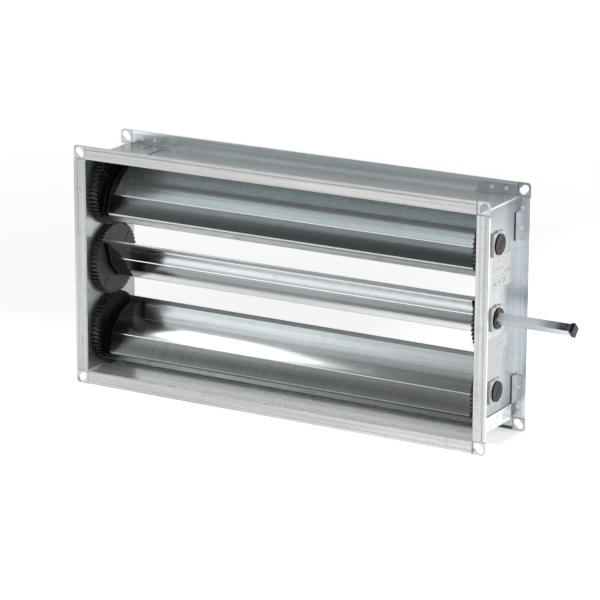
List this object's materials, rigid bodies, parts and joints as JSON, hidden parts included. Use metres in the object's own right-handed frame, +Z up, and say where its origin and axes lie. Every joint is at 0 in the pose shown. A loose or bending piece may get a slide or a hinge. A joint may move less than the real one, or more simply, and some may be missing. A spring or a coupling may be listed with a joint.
{
  "type": "rectangular duct shut-off damper",
  "caption": "Flanged steel duct damper whose hollow blades turn opposite ways through meshed plastic gears, driven by a square shaft at one side.",
  "frame": {"origin": "middle of the frame, on the axis of the middle blade, halfway between the two flange faces", "axes": "+X along the blades towards the drive shaft, +Y along the air path from the front flange to the back one, +Z up"},
  "size_m": [0.7345, 0.122, 0.341],
  "materials": {
    "frame_steel": "galvanised sheet, matt",
    "corner_steel": "galvanised sheet, matt",
    "strip_steel": "galvanised sheet, matt",
    "blade_steel": "galvanised sheet, semi-bright",
    "shaft_steel": "zinc plated, bright",
    "gear_plastic": "moulded black, slight sheen",
    "bush_plastic": "moulded off-white",
    "cap_plastic": "moulded black",
    "label_foil": "bare label stock"
  },
  "bodies": {
    "frame": {"frame_top_channel": "frame_steel", "frame_bottom_channel": "frame_steel", "frame_left_channel": "frame_steel", "frame_right_channel": "frame_steel", "corner_angle_front_top_left": "corner_steel", "corner_angle_front_top_right": "corner_steel", "corner_angle_front_bottom_left": "corner_steel", "corner_angle_front_bottom_right": "corner_steel", "corner_angle_back_top_left": "corner_steel", "corner_angle_back_top_right": "corner_steel", "corner_angle_back_bottom_left": "corner_steel", "corner_angle_back_bottom_right": "corner_steel", "bearing_bush_upper_left": "bush_plastic", "bearing_bush_upper_right": "bush_plastic", "bearing_bush_middle_left": "bush_plastic", "bearing_bush_middle_right": "bush_plastic", "bearing_bush_lower_left": "bush_plastic", "bearing_bush_lower_right": "bush_plastic", "stop_strip_top": "strip_steel", "stop_strip_bottom": "strip_steel", "label_upper": "label_foil", "label_middle": "label_foil", "label_lower": "label_foil", "label_strip": "label_foil"},
    "blade_upper": {"blade_upper_front_skin": "blade_steel", "blade_upper_back_skin": "blade_steel", "gear_end_upper_left": "gear_plastic", "gear_end_upper_right": "gear_plastic"},
    "blade_middle": {"blade_middle_front_skin": "blade_steel", "blade_middle_back_skin": "blade_steel", "gear_end_middle_left": "gear_plastic", "gear_end_middle_right": "gear_plastic", "drive_shaft": "shaft_steel", "shaft_end_cap": "cap_plastic"},
    "blade_lower": {"blade_lower_front_skin": "blade_steel", "blade_lower_back_skin": "blade_steel", "gear_end_lower_left": "gear_plastic", "gear_end_lower_right": "gear_plastic"}
  },
  "joints": [
    {"name": "middle_blade_turn", "type": "hinge", "parent": "frame", "child": "blade_middle", "pos_m": [0, 0, 0], "axis": [1, 0, 0], "range_deg": [-45, 45]},
    {"name": "upper_blade_turn", "type": "hinge", "parent": "frame", "child": "blade_upper", "pos_m": [0, 0, 0.1], "axis": [1, 0, 0], "range_deg": [-45, 45]},
    {"name": "lower_blade_turn", "type": "hinge", "parent": "frame", "child": "blade_lower", "pos_m": [0, 0, -0.1], "axis": [1, 0, 0], "range_deg": [-45, 45]}
  ],
  "couplings": [
    {"joint": "upper_blade_turn", "follows": "middle_blade_turn", "ratio": -1},
    {"joint": "lower_blade_turn", "follows": "middle_blade_turn", "ratio": -1}
  ]
}
